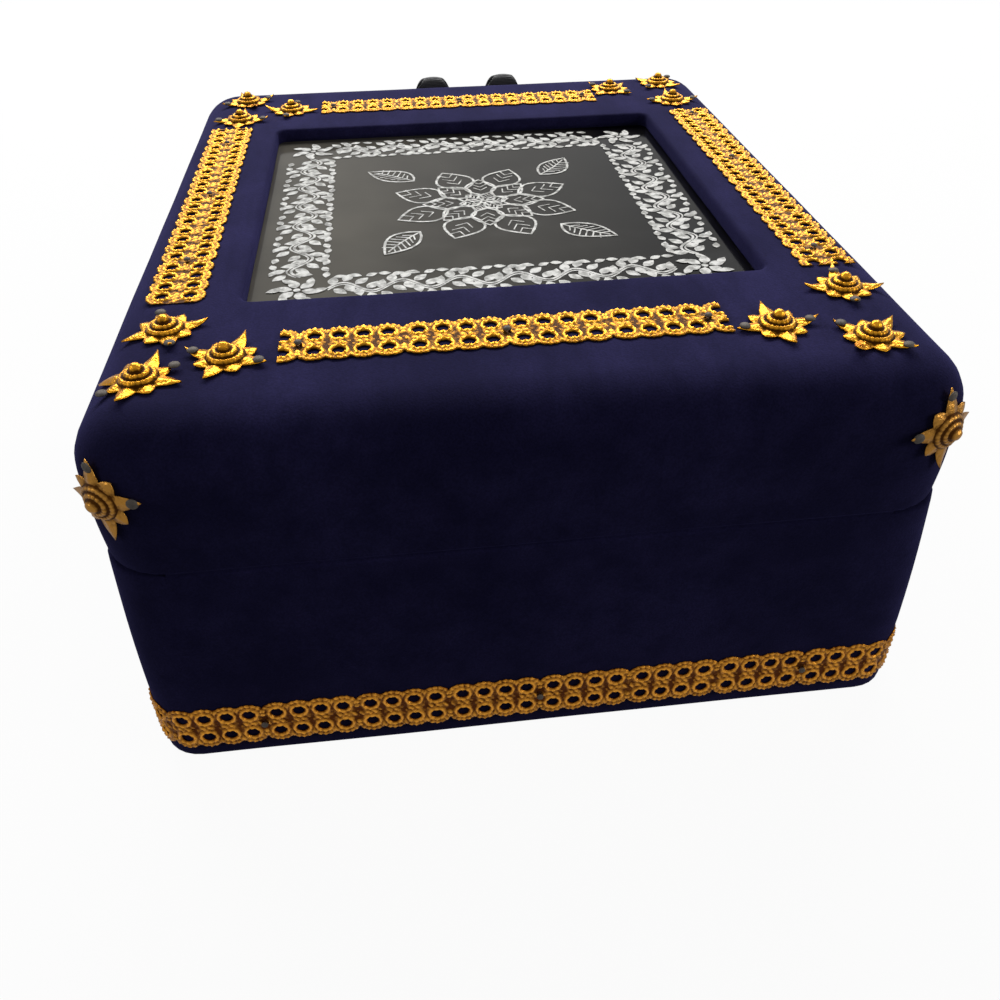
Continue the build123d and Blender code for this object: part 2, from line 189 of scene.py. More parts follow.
# pale straw wood with a darker grain; growth rings stand about 2.5 mm apart on a sawn face
pine, tree, shader, place = material("sanded pine")
grain_width = 2.5 * mm
along = add(tree, "ShaderNodeMapping", {0: place, "Scale": (0.08, 1, 1)})
grain = add(tree, "ShaderNodeTexNoise", {0: along, "Scale": 1 / grain_width, "Detail": 4})
tones = add(tree, "ShaderNodeMix", {0: grain, 6: "#C9A26B", 7: "#A9824F"}, data_type="RGBA")
give(tree, shader, {"Base Color": tones.outputs[2], "Roughness": 0.7})
sides = ("left", "right", "front", "back")
finish_as(["lid_wall_" + side for side in sides], pine)
finish_as(["bottom_board", "lid_top_panel", "glass_packing_frame"], pine)

velvet_low, velvet_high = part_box("base_velvet")
half_x, half_y = velvet_high.x / mm, velvet_high.y / mm
rim_z, foot_z = velvet_high.z / mm, velvet_low.z / mm
base_corner, rim_corner, strip_top, under_velvet = 11.0, 16.0, 22.0, 1.2


def corner_at(z):
    """Radius of the base's upright corners, sharp at the foot and drawn rounder to the rim."""
    return base_corner + (rim_corner - base_corner) * max((z - strip_top) / (rim_z - strip_top), 0)


def mend(data, merge=0.0, close=False, outwards=True):
    """Merges points this many mm apart, fills holes and turns a mesh's faces outwards."""
    work = bmesh.new()
    work.from_mesh(data)
    if merge:
        bmesh.ops.remove_doubles(work, verts=work.verts, dist=merge * mm)
    if close:
        bmesh.ops.holes_fill(work, edges=[edge for edge in work.edges if edge.is_boundary])
    if outwards:
        bmesh.ops.recalc_face_normals(work, faces=work.faces)
    work.to_mesh(data)
    work.free()


def own_copy(node, name):
    """A copy of a CAD solid's mesh as a piece, its loose triangles merged."""
    data = nodes[node].data.copy()
    data.name = name
    data.materials.clear()
    mend(data, merge=0.001, outwards=False)
    data.shade_flat()
    return shown(name, data)


def fit(piece, body, node, finish=None):
    """Puts a piece on its body with slot and finish, in place of its CAD node if it has one."""
    if finish:
        piece.data.materials.append(finish)
    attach(piece, body)
    if node:
        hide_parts(node)


for side in sides:
    board = own_copy("base_wall_" + side, "base_board_" + side)
    for vertex in board.data.vertices:
        x, y, z = vertex.co / mm
        radius = corner_at(z)
        dx, dy = abs(x) - half_x + radius, abs(y) - half_y + radius
        out = hypot(dx, dy)
        if min(dx, dy) > 0 and out > radius - under_velvet:
            share = 1 - (radius - under_velvet) / out
            vertex.co -= Vector((copysign(dx, x), copysign(dy, y), 0)) * share * mm
    fit(board, "base", "base_wall_" + side, pine)


# Base cover: navy cotton velvet glued round the four walls, turned in under the foot and
# over the rim. It is one band of cloth with a short smooth pile and softly rounded folds.
def ring(half_x, half_y, corner, z, side_steps=18, corner_steps=7):
    """One loop of points round a rounded rectangle, always with the same number of points."""
    corner = max(corner, 0.05)
    x, y = half_x - corner, half_y - corner
    arcs, points = [], []
    for quarter, (sx, sy) in enumerate(((1, -1), (1, 1), (-1, 1), (-1, -1))):
        start = radians(-90 + 90 * quarter)
        angles = [start + radians(90) * step / corner_steps for step in range(corner_steps + 1)]
        arcs.append([(sx * x + corner * cos(angle), sy * y + corner * sin(angle), z) for angle in angles])
    for arc, following in zip(arcs, arcs[1:] + arcs[:1]):
        points += arc
        for step in range(1, side_steps):
            points.append(tuple(a + (b - a) * (step / side_steps) for a, b in zip(arc[-1], following[0])))
    return points


def quarter_round(radius, steps, first=0):
    """How far a rounded edge stays back from each of the two faces that it joins."""
    angles = [radians(90 * step / steps) for step in range(first, steps + 1)]
    return [(radius * (1 - sin(angle)), radius * (1 - cos(angle))) for angle in angles]


def mesh_piece(name, points, faces, smooth=True):
    """An object at the origin from points in millimetres, doubles merged, faces outwards."""
    data = bpy.data.meshes.new(name)
    data.from_pydata([Vector(p) * mm for p in points], [], faces)
    mend(data, merge=0.01)
    if smooth:
        data.shade_smooth()
    return shown(name, data)


def skin(rows, count, closed=False, around=True, first=0):
    """Faces between rows of points: closed joins the last row to the first, around their ends."""
    faces = []
    for row in range(rows if closed else rows - 1):
        a, b = first + row * count, first + (row + 1) % rows * count
        for step in range(count if around else count - 1):
            after = (step + 1) % count
            faces.append((a + step, a + after, b + after, b + step))
    return faces


def lofted(name, loops, closed=False):
    """Skins a stack of equal loops; closed joins the last loop to the first."""
    return mesh_piece(name, [p for loop in loops for p in loop], skin(len(loops), len(loops[0]), closed))


def thicken(piece, millimetres, offset=-1):
    """Gives a cloth its thickness, inwards unless offset says otherwise, with closed edges."""
    solid = piece.modifiers.new("cloth thickness", "SOLIDIFY")
    solid.thickness, solid.offset = millimetres * mm, offset
    solid.use_even_offset = True


def soften(piece, depth, size, seed):
    """Lets a padded or glued cloth sink unevenly by up to depth, over patches of a size."""
    data = piece.data
    patch = Vector((seed * 7.3, seed * 3.1, seed))
    for vertex, normal in zip(data.vertices, [n.vector.copy() for n in data.vertex_normals]):
        spot = vertex.co / (size * mm) + patch
        vertex.co -= normal * depth * mm * (0.5 + 0.5 * noise.noise(spot))


# the pile swallows light, so it is near black face on and bluer along the nap and at edges;
# its tufts are about 0.15 mm across and are drawn 0.5 mm wide to show at all
velvet_finish, tree, shader, place = material("navy cotton velvet")
nap_size, brushed_size, worn_size = 0.5 * mm, 9 * mm, 45 * mm
nap = add(tree, "ShaderNodeTexNoise", {0: place, "Scale": 1 / nap_size, "Detail": 3})
stroke = add(tree, "ShaderNodeMapping", {0: place, "Scale": (1, 0.35, 1)})
brushing = {0: stroke, "Scale": 1 / brushed_size, "Detail": 4, "Roughness": 0.6}
brushed = add(tree, "ShaderNodeTexNoise", brushing)
worn = add(tree, "ShaderNodeTexNoise", {0: place, "Scale": 1 / worn_size, "Detail": 2})
patches = add(tree, "ShaderNodeMath", {0: brushed, 1: worn}, operation="MULTIPLY")
shade = add(tree, "ShaderNodeMapRange", {0: patches, 1: 0.15, 2: 0.38})
tones = add(tree, "ShaderNodeMix", {0: shade, 6: "#1A183A", 7: "#2A2750"}, data_type="RGBA")
fleck = add(tree, "ShaderNodeMapRange", {0: nap, 1: 0.35, 2: 0.65, 3: 0.8, 4: 1.16})
pile = add(tree, "ShaderNodeVectorMath", {0: tones.outputs[2], "Scale": fleck}, operation="SCALE")
relief = add(tree, "ShaderNodeBump", {"Height": nap, "Strength": 0.5, "Distance": 0.15 * mm})
give(tree, shader, {"Base Color": pile, "Normal": relief, "Roughness": 0.95, "Specular IOR Level": 0.1})
give(tree, shader, {"Sheen Weight": 0.26, "Sheen Roughness": 0.4, "Sheen Tint": "#6C68C0"})

wall_inset, foot_inset, foot_round, rim_round, wall_swell = 9.2, 14.0, 1.6, 0.9, 0.4
foot_flat = foot_z + foot_round
profile = [(foot_inset, foot_z + 0.1), (5.0, foot_z + 0.05)]
profile += [(back, foot_z + up) for back, up in quarter_round(foot_round, 4)]
for height in range(1, 15):
    share = height / 14
    swell = wall_swell * sin(pi * max(share - 0.25, 0) / 0.75)
    profile.append((-swell, foot_flat + (rim_z - rim_round - foot_flat) * share))
profile += [(back, rim_z - down) for down, back in quarter_round(rim_round, 4, 1)]
profile.append((4.0, rim_z))
loops = [ring(half_x - inset, half_y - inset, corner_at(z) - inset, z) for inset, z in profile]
lining_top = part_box("base_wall_lining")[1].z / mm
# inside the rim the cloth turns down square into the corners and ends behind the lining
turned_down = ((wall_inset, rim_z), (wall_inset + 0.5, rim_z - 0.4), (wall_inset + 0.5, lining_top - 1.0))
loops += [ring(half_x - inset, half_y - inset, 1.0, z) for inset, z in turned_down]
base_cover = lofted("base_cover", loops)
soften(base_cover, depth=0.3, size=42, seed=1)
thicken(base_cover, 0.7)
fit(base_cover, "base", "base_velvet", velvet_finish)


# Underside: a close black cotton cloth glued over the bottom board inside the turned-in
# velvet. It is what the box stands on.
def woven(name, thread, dark, light, rough=0.85):
    """A plain-woven cloth: its threads as crossed waves, with slubs and a drift of colour."""
    made, tree, shader, place = material(name)
    threads = {0: place, "Scale": 0.5 / thread, "Distortion": 0.6, "Detail": 1}
    waves = [add(tree, "ShaderNodeTexWave", threads, bands_direction=way) for way in "XYZ"]
    warp, weft, rise = [wave.outputs[1] for wave in waves]
    cross = add(tree, "ShaderNodeMath", {0: warp, 1: weft}, operation="MULTIPLY")
    weave = add(tree, "ShaderNodeMath", {0: cross, 1: rise}, operation="ADD")
    slub = add(tree, "ShaderNodeTexNoise", {0: place, "Scale": 1 / (6 * mm), "Detail": 3})
    share = add(tree, "ShaderNodeMath", {0: weave, 1: slub}, operation="MULTIPLY")
    tones = add(tree, "ShaderNodeMix", {0: share, 6: dark, 7: light}, data_type="RGBA")
    relief = add(tree, "ShaderNodeBump", {"Height": weave, "Strength": 0.4, "Distance": 0.12 * mm})
    give(tree, shader, {"Base Color": tones.outputs[2], "Normal": relief})
    give(tree, shader, {"Roughness": rough, "Specular IOR Level": 0.2})
    return made


# matt and near black, with a fine grid of threads; they are 0.4 mm apart on the real cloth
# and are drawn at 1 mm, to show at all
foot_finish = woven("close black cotton", 1.0 * mm, "#121216", "#26262B")
foot_cloth = own_copy("bottom_cloth", "foot_cloth")
fit(foot_cloth, "base", "bottom_cloth", foot_finish)


# Linings of both halves: smooth navy cloth over thin card, dropped in as a sleeve whose
# folded edge stands just inside the rim. The cloth is even and matt, lighter than velvet;
# its threads are 0.4 mm apart and are drawn at 0.9 mm, to show at all.
lining_finish = woven("navy lining cloth", 0.9 * mm, "#1B1B33", "#2C2C4C", rough=0.7)
card, card_fold = 1.6, 0.5
for body in ("base", "lid"):
    low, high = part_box(body + "_wall_lining")
    hidden_z, edge_z = (low.z / mm, high.z / mm) if body == "base" else (high.z / mm, low.z / mm)
    fold = copysign(card_fold, edge_z - hidden_z)
    outer = [(0, hidden_z), (0, (hidden_z + edge_z) / 2), (0, edge_z - fold)]
    outer.append((card_fold * 0.3, edge_z - fold * 0.3))
    sleeve = outer + [(card / 2, edge_z)] + [(card - inset, z) for inset, z in reversed(outer)]
    x, y = high.x / mm, high.y / mm
    loops = [ring(x - inset, y - inset, 0.4 + inset * 0.3, z, corner_steps=3) for inset, z in sleeve]
    piece = lofted(body + "_lining", loops, closed=True)
    fit(piece, body, body + "_wall_lining", lining_finish)


# Floor pad: a thin cushion of the same lining cloth over foam, pushed in between the
# walls. A cloth simulation puffs it up a little and draws its edges in.
def finished_mesh(piece):
    """The piece's mesh with its modifiers worked in."""
    bpy.context.view_layer.update()
    return bpy.data.meshes.new_from_object(piece.evaluated_get(bpy.context.evaluated_depsgraph_get()))


pad_low, pad_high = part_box("base_floor_pad")
pad_room, pad_edge, pad_corner, margin = 1.2, 3.0, 4.0, 0.1
voxel, pressure, puff_frames, puff_limit = 3.2, 4, 15, 1.1
pad_x, pad_y = pad_high.x / mm - pad_room, pad_high.y / mm - pad_room
pad_bottom, pad_top = pad_low.z / mm, pad_high.z / mm - pad_room


def pad_loop(share, z):
    """A loop on the pad's flat top or underside, this share of its full size."""
    return ring(pad_x * share, pad_y * share, pad_corner * share, z)


wall = [(0.0, pad_bottom + 0.5), (0.0, pad_bottom + 2.5)]
wall += [(back, pad_top - down) for down, back in quarter_round(pad_edge, 5, 1)]
loops = [pad_loop(share, pad_bottom + 0.2) for share in (0.08, 0.5, 0.99)]
loops += [ring(pad_x - inset, pad_y - inset, pad_corner, z) for inset, z in wall]
loops += [pad_loop(share, pad_top) for share in (0.85, 0.65, 0.45, 0.25, 0.08)]
floor_pad = lofted("floor_pad", loops)
mend(floor_pad.data, close=True)
floor_pad.data.shade_smooth()
even = floor_pad.modifiers.new("even cloth", "REMESH")
even.mode, even.voxel_size = "VOXEL", voxel * mm
still = finished_mesh(floor_pad)
floor_pad.modifiers.clear()
floor_pad.data = still
start = np.array([vertex.co for vertex in still.vertices])
puff = floor_pad.modifiers.new("puff", "CLOTH")
puff.settings.use_pressure = True
puff.settings.uniform_pressure_force = pressure
puff.settings.effector_weights.gravity = 0
for step in range(puff_frames):
    scene.frame_set(step + 1)
puffed = finished_mesh(floor_pad)
floor_pad.modifiers.clear()
scene.frame_set(1)
moved = np.array([vertex.co for vertex in puffed.vertices]) - start
reach = np.linalg.norm(moved, axis=1, keepdims=True)
settled = start + moved * np.minimum(1, puff_limit * mm / np.maximum(reach, 1e-9))
settled = np.clip(settled, np.array(pad_low) + margin * mm, np.array(pad_high) - margin * mm)
puffed.vertices.foreach_set("co", settled.ravel())
floor_pad.data = puffed
puffed.shade_smooth()
floor_pad.data.materials.clear()
fit(floor_pad, "base", "base_floor_pad", lining_finish)


# Cloth hinge: a woven tape glued on both back boards under the velvet, and the velvet
# itself, which runs on over the seam at the back and only creases there.
def hinge_strip(name, depth, below, above, half, thick, dip=0.0):
    """A strip of cloth over the seam, lying this deep under the back face."""
    count = 24
    points = []
    for step in range(count + 1):
        z = below + (above - below) * step / count
        front = -half_y + depth + dip * exp(-(((z - hinge_z) / 0.35) ** 2))
        points += [(-half, front, z), (half, front, z), (half, front + thick, z), (-half, front + thick, z)]
    ends = [(0, 1, 2, 3), tuple(len(points) - 4 + step for step in (3, 2, 1, 0))]
    return mesh_piece(name, points, ends + skin(count + 1, 4), smooth=False)


# matt navy, a little greyer than the velvet, with an open weave
tape_finish = woven("navy hinge tape", 0.8 * mm, "#1A1830", "#29263F")
hinge = Vector(frame["joints"][0]["pos_m"])
hinge_z = hinge.z / mm
tape_low, tape_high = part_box("hinge_tape_base")[0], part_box("hinge_tape_lid")[1]
lid_corner = 16.0
tape = hinge_strip("hinge_tape", 1.25, tape_low.z / mm, tape_high.z / mm, tape_high.x / mm, 0.45)
tape.data.materials.append(tape_finish)
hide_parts("hinge_tape_base", "hinge_tape_lid")
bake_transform(tape)
crease = hinge_strip("hinge_velvet", 0.6, hinge_z - 0.9, hinge_z + 0.9, half_x - lid_corner, 0.4, dip=0.15)
crease.data.materials.append(velvet_finish)
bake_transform(crease)


# Wadding: a thin sheet of cotton wadding between the lid's boards and its velvet. Its
# surface is loose fibre, off-white and matt, in clumps of 1 to 2 mm.
wadding_finish, tree, shader, place = material("cotton wadding")
fibre = add(tree, "ShaderNodeTexNoise", {0: place, "Scale": 1 / (1.2 * mm), "Detail": 5, "Distortion": 2.5})
tones = add(tree, "ShaderNodeMix", {0: fibre, 6: "#D8D0BF", 7: "#F0ECE2"}, data_type="RGBA")
relief = add(tree, "ShaderNodeBump", {"Height": fibre, "Strength": 0.6, "Distance": 0.3 * mm})
give(tree, shader, {"Base Color": tones.outputs[2], "Normal": relief, "Roughness": 1.0})
wadding = own_copy("lid_wadding", "lid_wadding_sheet")
fit(wadding, "lid", "lid_wadding", wadding_finish)


# Lid cover: the same velvet over the wadding. It rolls over the lid's edges with a soft
# round shoulder, is turned in under the rim and down into the window on to the glass.
lid_low, lid_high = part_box("lid_velvet")
top_z, lid_rim = lid_high.z / mm, lid_low.z / mm
glass_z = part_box("window_glass")[1].z / mm
lining_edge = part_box("lid_wall_lining")[0].z / mm
roll, lid_inner = 14.5, 10.0
rim_tuck, corner_tuck, tuck_height = 0.2, 1.3, 12.0
window_half, window_corner, lip = 68.0, 3.0, 1.5


def lid_loop(inset, z):
    """A loop round the lid, drawn in a little towards the rim and most at the corners."""
    low_share = max(1 - (z - lid_rim) / tuck_height, 0) ** 1.5
    inset += rim_tuck * low_share
    return ring(half_x - inset, half_y - inset, lid_corner - inset + corner_tuck * low_share, z)


def window_loop(inset, z):
    """A loop round the window, this far outside its edge."""
    return ring(window_half + inset, window_half + inset, window_corner + inset, z)


straight_z = lid_rim + rim_round
profile = [(5.0, lid_rim)] + [(back, lid_rim + up) for back, up in quarter_round(rim_round, 4)]
profile += [(0.0, straight_z + (top_z - roll - straight_z) * height / 8) for height in range(1, 9)]
profile += [(back, top_z - down) for down, back in quarter_round(roll, 12, 1)]
turned_up = ((lid_inner + 0.5, lining_edge + 1.0), (lid_inner + 0.5, lid_rim + 0.4), (lid_inner, lid_rim))
loops = [ring(half_x - inset, half_y - inset, 1.0, z) for inset, z in turned_up]
loops += [lid_loop(inset, z) for inset, z in profile]
shoulder, mouth = loops[-1], window_loop(lip, top_z)
for step in range(1, 13):
    loops.append([tuple(a + (b - a) * step / 12 for a, b in zip(p, q)) for p, q in zip(shoulder, mouth)])
loops += [window_loop(back, top_z - down) for back, down in quarter_round(lip, 5, 1)]
loops += [window_loop(0.0, z) for z in ((top_z - lip + glass_z) / 2, glass_z + 0.05)]
lid_cover = lofted("lid_cover", loops)
soften(lid_cover, depth=0.35, size=38, seed=2)
thicken(lid_cover, 0.75)
fit(lid_cover, "lid", "lid_velvet", velvet_finish)


# Window glass: plain float glass, blacked and a little hazed on its back, so that it shows
# dark, with a soft grey reflection painted on, brightest at the left. It stays as the CAD has it.
glass_finish, tree, shader, place = material("hazed dark glass with painted reflection")
# painted reflection: pale grey in patches of about 60 mm, brightest at the left edge and gone a little right
# of the middle
reflection_patches = add(tree, "ShaderNodeTexNoise", {0: place, "Scale": 1 / (60 * mm), "Detail": 3})
across = add(tree, "ShaderNodeSeparateXYZ", {0: place})
fall = add(tree, "ShaderNodeMapRange", {0: across, 1: -0.07, 2: 0.05, 3: 0.7, 4: 0.0})
painted_reflection = add(tree, "ShaderNodeMath", {0: reflection_patches, 1: fall}, operation="MULTIPLY")
tones = add(tree, "ShaderNodeMix", {0: painted_reflection, 6: "#0B0A09", 7: "#A09A8C"}, data_type="RGBA")
film = add(tree, "ShaderNodeTexNoise", {0: place, "Scale": 1 / (14 * mm), "Detail": 5})
smear = add(tree, "ShaderNodeMapRange", {0: film, 1: 0.3, 2: 0.8, 3: 0.05, 4: 0.16})
give(tree, shader, {"Base Color": tones.outputs[2], "Roughness": smear, "IOR": 1.32})
finish_as(["window_glass"], glass_finish)
finish_as(["lid_ceiling_board"], lining_finish)


# Print on the glass: a silver line drawing laid on like ink, with a running border of
# vine and leaf and a many-petalled flower in the middle.
class Drawing:
    """Collects flat ribbons and filled shapes, in millimetres."""

    def __init__(self):
        self.points, self.faces, self.strokes = [], [], 0

    def level(self):
        """Every stroke lies a hair above the last, so that crossing ones don't share a plane."""
        self.strokes += 1
        return 0.005 * (self.strokes % 23)

    def line(self, path, width, closed=False):
        count = len(path)
        first, z = len(self.points), self.level()
        for i, (x, y) in enumerate(path):
            before = path[i - 1] if i or closed else path[0]
            after = path[(i + 1) % count] if i < count - 1 or closed else path[-1]
            dx, dy = after[0] - before[0], after[1] - before[1]
            size = hypot(dx, dy) or 1
            nx, ny = -dy / size * width / 2, dx / size * width / 2
            self.points += [(x + nx, y + ny, z), (x - nx, y - ny, z)]
        self.faces += skin(count, 2, closed, around=False, first=first)

    def fill(self, path):
        first, z = len(self.points), self.level()
        self.points += [(x, y, z) for x, y in path]
        self.faces.append(tuple(range(first, first + len(path))))

    def unit(self, name):
        made = mesh_piece(name, self.points, self.faces, smooth=False)
        for face in made.data.polygons:
            if face.normal.z < 0:
                face.flip()
        return made


def circle(radius, count):
    """Points round a circle."""
    angles = [2 * pi * step / count for step in range(count)]
    return [(radius * cos(angle), radius * sin(angle)) for angle in angles]


def laid(path, degrees, x=0.0, y=0.0):
    """A path turned by degrees and moved to x, y."""
    c, s = cos(radians(degrees)), sin(radians(degrees))
    return [(x + u * c - v * s, y + u * s + v * c) for u, v in path]


def leaf(length, width, steps, curl=0.0, foot=0.0):
    """Outline of a pointed leaf along x from its foot, bent sideways by curl."""
    edge = []
    for way in (1, -1):
        for step in range(steps) if way == 1 else range(steps, 0, -1):
            share = step / steps
            side = way * width / 2 * sin(pi * share**0.85)
            edge.append((foot + length * share, side + curl * share**2))
    return edge


unit_length, vine_wave, leaves_in_unit = 15.8, 2.8, 5
border_unit, corner_unit, flower = Drawing(), Drawing(), Drawing()
vine = []
for step in range(17):
    vine.append((unit_length * (step / 16 - 0.5), vine_wave * sin(2 * pi * step / 16)))
# two stems side by side, leaves on both sides of them and loose leaves towards the edges
border_unit.line([(x, y + 0.55) for x, y in vine], 0.8)
border_unit.line([(x, y - 0.65) for x, y in vine], 0.55)
for step in range(leaves_in_unit):
    x = unit_length * ((step + 0.3) / leaves_in_unit - 0.5)
    phase = 2 * pi * x / unit_length + pi
    y, lean = vine_wave * sin(phase), 38 * cos(phase)
    border_unit.fill(laid(leaf(5.0, 2.9, 6), 64 + lean / 2, x, y + 1.2))
    border_unit.fill(laid(leaf(4.8, 2.8, 6), -60 + lean / 2, x + 0.6, y - 1.3))
drops_above = ((-6.6, 6.6, 15), (-2.2, 7.9, -20), (2.2, 6.4, 25), (5.6, 7.7, -5))
drops_below = ((-5.0, -6.6, -15), (-0.6, -7.9, 20), (3.4, -6.5, -25))
for x, y, tilt in drops_above + drops_below:
    border_unit.fill(laid(leaf(3.6, 2.2, 5), tilt, x, y))

for degrees in range(15, 375, 60):
    corner_unit.fill(laid(leaf(5.2, 3.2, 6, foot=1.3), degrees))
    corner_unit.fill(laid(laid(leaf(4.2, 2.4, 6), 36, x=4.42), degrees))
corner_unit.fill(circle(1.0, 10))

# each ring of petals: how many, how far out its foot is, length, width and turn
petal_rings = ((8, 5.6, 13.5, 10.0, 0.0), (8, 12.5, 17.0, 12.5, 22.5), (6, 0.8, 7.0, 5.4, 10.0))
for count, foot, length, width, twist in petal_rings:
    for petal in range(count):
        degrees = 360 * petal / count + twist
        flower.line(laid(leaf(length, width, 9, foot=foot), degrees), 0.8, closed=True)
        for share in (0.3, 0.5, 0.7):
            near, tip = foot + length * share, foot + length * (share + 0.18)
            for way in (-0.22, 0.22):
                flower.line(laid([(near, 0), (tip, way * width)], degrees), 0.4)
leaf_length, leaf_width, leaf_curl, leaf_foot = 18.0, 10.0, 3.0, 30.0
for degrees in (45, 135, 225, 315):
    (x, y), = laid([(leaf_foot, 0)], degrees)
    flower.line(laid(leaf(leaf_length, leaf_width, 9, leaf_curl), degrees, x, y), 0.8, closed=True)
    spine = [(u, leaf_curl * (u / leaf_length) ** 2) for u in range(17)]
    flower.line(laid(spine[::4], degrees, x, y), 0.6)
    for u, v in spine[3:15:2]:
        half = 0.4 * leaf_width * sin(pi * (u / leaf_length) ** 0.85)
        for way in (-half, half):
            flower.line(laid([(u, v), (u + 2.0, v + way)], degrees, x, y), 0.45)
flower.line(circle(0.9, 12), 0.4, closed=True)


def units_tree(name):
    """Nodes that put a unit on each point, turned as the point says, and make it real."""
    tree = bpy.data.node_groups.new(name, "GeometryNodeTree")
    inputs = {"Points": "Geometry", "Unit": "Object", "Unit size": "Float", "Finish": "Material"}
    for label, kind in inputs.items():
        tree.interface.new_socket(label, in_out="INPUT", socket_type="NodeSocket" + kind)
    tree.interface.new_socket("Pieces", in_out="OUTPUT", socket_type="NodeSocketGeometry")
    given = add(tree, "NodeGroupInput").outputs
    turn = add(tree, "GeometryNodeInputNamedAttribute", {"Name": "turn"}, data_type="FLOAT_VECTOR")
    unit = add(tree, "GeometryNodeObjectInfo", {"Object": given["Unit"]})
    turned = add(tree, "FunctionNodeEulerToRotation", {0: turn})
    put = {"Points": given["Points"], "Instance": unit.outputs["Geometry"]}
    put.update({"Rotation": turned, "Scale": given["Unit size"]})
    pieces = add(tree, "GeometryNodeInstanceOnPoints", put)
    real = add(tree, "GeometryNodeRealizeInstances", {0: pieces})
    coated = add(tree, "GeometryNodeSetMaterial", {0: real, "Material": given["Finish"]})
    add(tree, "NodeGroupOutput", {0: coated})
    return tree


units_on_points = units_tree("units on points")


def placed(name, unit, spots, finish, size=1.0):
    """Runs the tree over spots, each (x, y, z, turn) in millimetres, and keeps a plain mesh."""
    data = bpy.data.meshes.new(name + "_spots")
    data.from_pydata([Vector(spot[:3]) * mm for spot in spots], [], [])
    turns = data.attributes.new("turn", "FLOAT_VECTOR", "POINT")
    turns.data.foreach_set("vector", [value for spot in spots for value in spot[3]])
    carrier = shown(name, data)
    run = carrier.modifiers.new("units", "NODES")
    run.node_group = units_on_points
    sockets = units_on_points.interface.items_tree
    names = {item.name: item.identifier for item in sockets if item.in_out == "INPUT"}
    run[names["Unit"]] = unit
    run[names["Unit size"]] = size
    run[names["Finish"]] = finish
    plain = finished_mesh(carrier)
    carrier.modifiers.clear()
    carrier.data = plain
    bpy.data.meshes.remove(data)
    plain.materials.clear()
    plain.materials.append(finish)
    plain.polygons.foreach_set("material_index", [0] * len(plain.polygons))
    return carrier


# a pale matt grey-white that breaks up over grains of about 2 mm
silver, tree, shader, place = material("silver ink")
break_up = add(tree, "ShaderNodeTexNoise", {0: place, "Scale": 1 / (2.2 * mm), "Detail": 4})
worn = add(tree, "ShaderNodeMapRange", {0: break_up, 1: 0.35, 2: 0.6})
tones = add(tree, "ShaderNodeMix", {0: worn, 6: "#8F8E88", 7: "#EFEEE9"}, data_type="RGBA")
give(tree, shader, {"Base Color": tones.outputs[2], "Roughness": 0.45})

ink_z, corner_lift, units_per_side, border_at = glass_z + 0.06, 0.12, 6, 55.5
spots, corners = [], []
for side in range(4):
    turned = (0, 0, radians(90 * side))
    runs = [(step - (units_per_side - 1) / 2) * unit_length for step in range(units_per_side)]
    spots += [(x, y, ink_z, turned) for x, y in laid([(run, -border_at) for run in runs], 90 * side)]
    corners += [(x, y, ink_z + corner_lift, turned) for x, y in laid([(border_at, -border_at)], 90 * side)]
vine_piece, corner_piece = border_unit.unit("vine_unit"), corner_unit.unit("corner_unit")
border = placed("print_border", vine_piece, spots, silver)
corner_flowers = placed("print_corners", corner_piece, corners, silver)
bpy.data.objects.remove(vine_piece)
bpy.data.objects.remove(corner_piece)
middle_flower = flower.unit("print_flower")
middle_flower.data.transform(Matrix.Translation((0, 0, ink_z * mm)))
middle_flower.data.materials.append(silver)
for piece in (border, corner_flowers, middle_flower):
    fit(piece, "lid", None)


# Stamped brass strip: thin gilt sheet pierced with two rows of round holes, each in a ring
# of beads, with a beaded scalloped edge and a twisted rib down the middle. Its colour comes
# from its height: bright on the beads, brown in the hollows with tarnish and painted shade.
# It is cut off through a hole or not, and pinned to the velvet.
def gilt(name, hollow, crest, rough):
    """Gilt brass whose colour follows the relief: worn bright, tarnish and painted shade in the hollows."""
    made, tree, shader, place = material(name)
    height = add(tree, "ShaderNodeAttribute", attribute_name="relief")
    # tarnish and dust gather in patches of 1 to 2 mm
    specks = {0: place, "Scale": 1 / (1.6 * mm), "Detail": 4, "Roughness": 0.65}
    grime = add(tree, "ShaderNodeTexNoise", specks)
    lift = add(tree, "ShaderNodeMath", {0: grime, 1: 0.8, 2: -0.4}, operation="MULTIPLY_ADD")
    # the stored relief sets how dark: tarnish and painted shade in the hollows, bright where worn
    level = add(tree, "ShaderNodeMath", {0: height.outputs["Fac"], 1: lift}, operation="ADD")
    worn = add(tree, "ShaderNodeMapRange", {0: level, 1: 0.2, 2: 0.76})
    tones = add(tree, "ShaderNodeMix", {0: worn, 6: hollow, 7: crest}, data_type="RGBA")
    dull = add(tree, "ShaderNodeMapRange", {0: worn, 3: rough + 0.3, 4: rough})
    hammer = add(tree, "ShaderNodeTexNoise", {0: place, "Scale": 1 / (0.8 * mm), "Detail": 2})
    relief = add(tree, "ShaderNodeBump", {"Height": hammer, "Strength": 0.8, "Distance": 0.3 * mm})
    give(tree, shader, {"Base Color": tones.outputs[2], "Roughness": dull, "Normal": relief, "Metallic": 1.0})
    return made


# the lid's brass is rubbed bright yellow and the foot's strips are tarnished to orange; the
# stars on the upright corners get a darker copy of it, painted shade
brass = gilt("gilt stamped brass", "#3C2106", "#ECA42A", 0.24)
dull_brass = gilt("tarnished gilt brass", "#5A2C08", "#FFB040", 0.22)
shade_painted_corner_brass = gilt("gilt brass darkened with painted shade", "#4A2A0C", "#B9843A", 0.3)

# the pattern repeats every four holes, which takes a little more than four times the pitch
strip_width, row_gap, pitch, period = 15.2, 7.05, 5.7, 24.25
hole_radius, hole_lip, bead_ring, bead_foot, edge_ring = 1.45, 1.75, 2.1, 2.45, 3.45
column_middles = [(column - 1.5) * pitch for column in range(4)]
column_borders = [-period / 2, -pitch, 0.0, pitch, period / 2]


